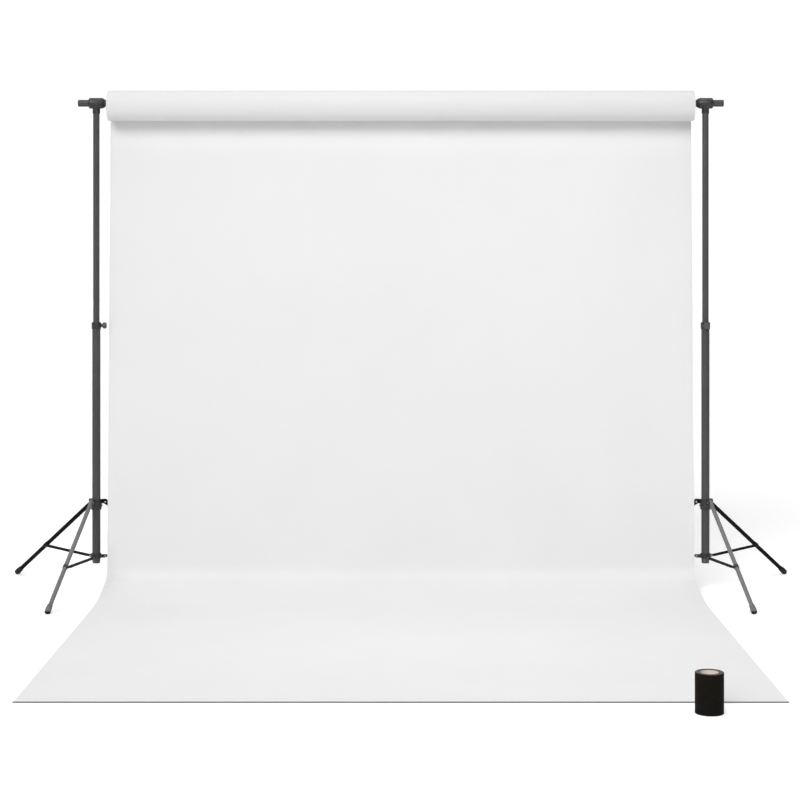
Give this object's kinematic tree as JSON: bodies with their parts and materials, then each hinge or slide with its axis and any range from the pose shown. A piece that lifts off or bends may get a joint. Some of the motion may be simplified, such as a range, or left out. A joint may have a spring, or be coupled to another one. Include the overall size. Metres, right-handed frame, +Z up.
{
  "type": "background support system",
  "caption": "Freestanding backdrop support: two folding tripod stands carry a sectional crossbar with a wide paper roll whose sheet sweeps down onto the floor.",
  "frame": {"origin": "on the floor, at the middle of the footprint box of the stands, the sheet and the floor tape", "axes": "+X along the crossbar to the right-hand stand as the subject's camera sees it, +Z up, -Y towards the camera side where the sheet lies on the floor"},
  "size_m": [3.7522, 2.725, 2.3173],
  "materials": {
    "tube_paint": "satin dark grey paint on thin tube",
    "brace_steel": "black paint on pressed steel",
    "cast_black": "textured black paint on a casting",
    "rivet_steel": "bright rivet",
    "black_plastic": "moulded black plastic",
    "foot_rubber": "matt black rubber",
    "white_paper": "matt white background paper",
    "cardboard": "plain spiral-wound cardboard",
    "black_tape": "coated black cloth tape"
  },
  "bodies": {
    "root": {"left_lower_column": "tube_paint", "left_column_end_cap": "black_plastic", "left_brace_bracket": "black_plastic", "left_brace_rivets": "rivet_steel", "left_mast_lock_collar": "black_plastic", "right_lower_column": "tube_paint", "right_column_end_cap": "black_plastic", "right_brace_bracket": "black_plastic", "right_brace_rivets": "rivet_steel", "right_mast_lock_collar": "black_plastic", "paper_drop": "white_paper", "paper_sweep": "white_paper"},
    "left_mast": {"left_mast_tube": "tube_paint", "left_mast_bush": "black_plastic", "left_tee_head": "cast_black"},
    "left_collar": {"left_leg_collar": "black_plastic", "left_leg_rivets": "rivet_steel"},
    "left_lock_knob": {"left_mast_lock_knob": "black_plastic"},
    "left_collar_knob": {"left_leg_collar_knob": "black_plastic"},
    "left_tee_screw": {"left_tee_lock_screw": "black_plastic"},
    "left_front_leg_set": {"left_front_leg": "tube_paint", "left_front_foot": "foot_rubber", "left_front_brace_saddle": "black_plastic"},
    "left_front_brace_link": {"left_front_brace": "brace_steel"},
    "left_outer_leg_set": {"left_outer_leg": "tube_paint", "left_outer_foot": "foot_rubber", "left_outer_brace_saddle": "black_plastic"},
    "left_outer_brace_link": {"left_outer_brace": "brace_steel"},
    "left_inner_leg_set": {"left_inner_leg": "tube_paint", "left_inner_foot": "foot_rubber", "left_inner_brace_saddle": "black_plastic"},
    "left_inner_brace_link": {"left_inner_brace": "brace_steel"},
    "right_mast": {"right_mast_tube": "tube_paint", "right_mast_bush": "black_plastic", "right_tee_head": "cast_black"},
    "right_collar": {"right_leg_collar": "black_plastic", "right_leg_rivets": "rivet_steel"},
    "right_lock_knob": {"right_mast_lock_knob": "black_plastic"},
    "right_collar_knob": {"right_leg_collar_knob": "black_plastic"},
    "right_tee_screw": {"right_tee_lock_screw": "black_plastic"},
    "right_front_leg_set": {"right_front_leg": "tube_paint", "right_front_foot": "foot_rubber", "right_front_brace_saddle": "black_plastic"},
    "right_front_brace_link": {"right_front_brace": "brace_steel"},
    "right_outer_leg_set": {"right_outer_leg": "tube_paint", "right_outer_foot": "foot_rubber", "right_outer_brace_saddle": "black_plastic"},
    "right_outer_brace_link": {"right_outer_brace": "brace_steel"},
    "right_inner_leg_set": {"right_inner_leg": "tube_paint", "right_inner_foot": "foot_rubber", "right_inner_brace_saddle": "black_plastic"},
    "right_inner_brace_link": {"right_inner_brace": "brace_steel"},
    "crossbar": {"crossbar_section_1": "tube_paint", "crossbar_section_2": "tube_paint", "crossbar_section_3": "tube_paint", "crossbar_section_4": "tube_paint"},
    "roll": {"paper_core": "cardboard", "paper_roll": "white_paper"},
    "floor_tape": {"tape_roll": "black_tape", "tape_core": "cardboard"}
  },
  "joints": [
    {"name": "left_mast_slide", "type": "slide", "parent": "root", "child": "left_mast", "axis": [0, 0, 1], "range_m": [-0.9, 0], "deforming": ["paper_drop"]},
    {"name": "left_collar_slide", "type": "slide", "parent": "root", "child": "left_collar", "axis": [0, 0, 1], "range_m": [0, 0.4945]},
    {"name": "left_front_leg_fold", "type": "hinge", "parent": "left_collar", "child": "left_front_leg_set", "pos_m": [-1.43491, 0.92225, 0.406], "axis": [0.9848, -0.1736, 0], "range_deg": [0, 54.68]},
    {"name": "left_front_brace_fold", "type": "hinge", "parent": "root", "child": "left_front_brace_link", "pos_m": [-1.42194, 0.91692, 0.1525], "axis": [-0.9848, 0.1736, 0], "range_deg": [0, 88.15]},
    {"name": "left_outer_leg_fold", "type": "hinge", "parent": "left_collar", "child": "left_outer_leg_set", "pos_m": [-1.43708, 0.9915, 0.406], "axis": [-0.6428, -0.766, 0], "range_deg": [0, 54.68]},
    {"name": "left_outer_brace_fold", "type": "hinge", "parent": "root", "child": "left_outer_brace_link", "pos_m": [-1.44818, 0.98294, 0.1525], "axis": [0.6428, 0.766, 0], "range_deg": [0, 88.15]},
    {"name": "left_inner_leg_fold", "type": "hinge", "parent": "left_collar", "child": "left_inner_leg_set", "pos_m": [-1.37602, 0.95875, 0.406], "axis": [-0.342, 0.9397, 0], "range_deg": [0, 54.68]},
    {"name": "left_inner_brace_fold", "type": "hinge", "parent": "root", "child": "left_inner_brace_link", "pos_m": [-1.37788, 0.97265, 0.1525], "axis": [0.342, -0.9397, 0], "range_deg": [0, 88.15]},
    {"name": "left_lock_knob_turn", "type": "hinge", "parent": "root", "child": "left_lock_knob", "pos_m": [-1.416, 0.9575, 1.2255], "axis": [1, 0, 0], "range_deg": [0, 540]},
    {"name": "left_collar_knob_turn", "type": "hinge", "parent": "left_collar", "child": "left_collar_knob", "pos_m": [-1.416, 0.9575, 0.383], "axis": [0.1736, 0.9848, 0], "range_deg": [0, 540]},
    {"name": "left_tee_screw_turn", "type": "hinge", "parent": "left_mast", "child": "left_tee_screw", "pos_m": [-1.416, 0.9575, 2.2585], "axis": [0, 1, 0], "range_deg": [0, 540]},
    {"name": "right_mast_slide", "type": "slide", "parent": "root", "child": "right_mast", "axis": [0, 0, 1], "range_m": [-0.9, 0]},
    {"name": "right_collar_slide", "type": "slide", "parent": "root", "child": "right_collar", "axis": [0, 0, 1], "range_m": [0, 0.4945]},
    {"name": "right_front_leg_fold", "type": "hinge", "parent": "right_collar", "child": "right_front_leg_set", "pos_m": [1.43491, 0.92225, 0.406], "axis": [0.9848, 0.1736, 0], "range_deg": [0, 54.68]},
    {"name": "right_front_brace_fold", "type": "hinge", "parent": "root", "child": "right_front_brace_link", "pos_m": [1.42194, 0.91692, 0.1525], "axis": [-0.9848, -0.1736, 0], "range_deg": [0, 88.15]},
    {"name": "right_outer_leg_fold", "type": "hinge", "parent": "right_collar", "child": "right_outer_leg_set", "pos_m": [1.43708, 0.9915, 0.406], "axis": [-0.6428, 0.766, 0], "range_deg": [0, 54.68]},
    {"name": "right_outer_brace_fold", "type": "hinge", "parent": "root", "child": "right_outer_brace_link", "pos_m": [1.44818, 0.98294, 0.1525], "axis": [0.6428, -0.766, 0], "range_deg": [0, 88.15]},
    {"name": "right_inner_leg_fold", "type": "hinge", "parent": "right_collar", "child": "right_inner_leg_set", "pos_m": [1.37602, 0.95875, 0.406], "axis": [-0.342, -0.9397, 0], "range_deg": [0, 54.68]},
    {"name": "right_inner_brace_fold", "type": "hinge", "parent": "root", "child": "right_inner_brace_link", "pos_m": [1.37788, 0.97265, 0.1525], "axis": [0.342, 0.9397, 0], "range_deg": [0, 88.15]},
    {"name": "right_lock_knob_turn", "type": "hinge", "parent": "root", "child": "right_lock_knob", "pos_m": [1.416, 0.9575, 1.2255], "axis": [0, -1, 0], "range_deg": [0, 540]},
    {"name": "right_collar_knob_turn", "type": "hinge", "parent": "right_collar", "child": "right_collar_knob", "pos_m": [1.416, 0.9575, 0.383], "axis": [-0.1736, 0.9848, 0], "range_deg": [0, 540]},
    {"name": "right_tee_screw_turn", "type": "hinge", "parent": "right_mast", "child": "right_tee_screw", "pos_m": [1.416, 0.9575, 2.2585], "axis": [0, 1, 0], "range_deg": [0, 540]},
    {"name": "crossbar_shift", "type": "slide", "parent": "left_mast", "child": "crossbar", "axis": [1, 0, 0], "range_m": [-0.01, 0.01]},
    {"name": "roll_spin", "type": "hinge", "parent": "crossbar", "child": "roll", "pos_m": [0, 0.9575, 2.2468], "axis": [1, 0, 0], "continuous": true},
    {"name": "tape_lift", "type": "slide", "parent": "root", "child": "floor_tape", "axis": [0, 0, 1], "range_m": [0, 0.3]}
  ],
  "couplings": [
    {"joint": "left_front_leg_fold", "follows": "left_collar_slide", "rad_per_m": 1.928},
    {"joint": "left_front_brace_fold", "follows": "left_collar_slide", "rad_per_m": 3.1094},
    {"joint": "left_outer_leg_fold", "follows": "left_collar_slide", "rad_per_m": 1.928},
    {"joint": "left_outer_brace_fold", "follows": "left_collar_slide", "rad_per_m": 3.1094},
    {"joint": "left_inner_leg_fold", "follows": "left_collar_slide", "rad_per_m": 1.928},
    {"joint": "left_inner_brace_fold", "follows": "left_collar_slide", "rad_per_m": 3.1094},
    {"joint": "right_mast_slide", "follows": "left_mast_slide", "ratio": 1},
    {"joint": "right_front_leg_fold", "follows": "right_collar_slide", "rad_per_m": 1.928},
    {"joint": "right_front_brace_fold", "follows": "right_collar_slide", "rad_per_m": 3.1094},
    {"joint": "right_outer_leg_fold", "follows": "right_collar_slide", "rad_per_m": 1.928},
    {"joint": "right_outer_brace_fold", "follows": "right_collar_slide", "rad_per_m": 3.1094},
    {"joint": "right_inner_leg_fold", "follows": "right_collar_slide", "rad_per_m": 1.928},
    {"joint": "right_inner_brace_fold", "follows": "right_collar_slide", "rad_per_m": 3.1094}
  ]
}
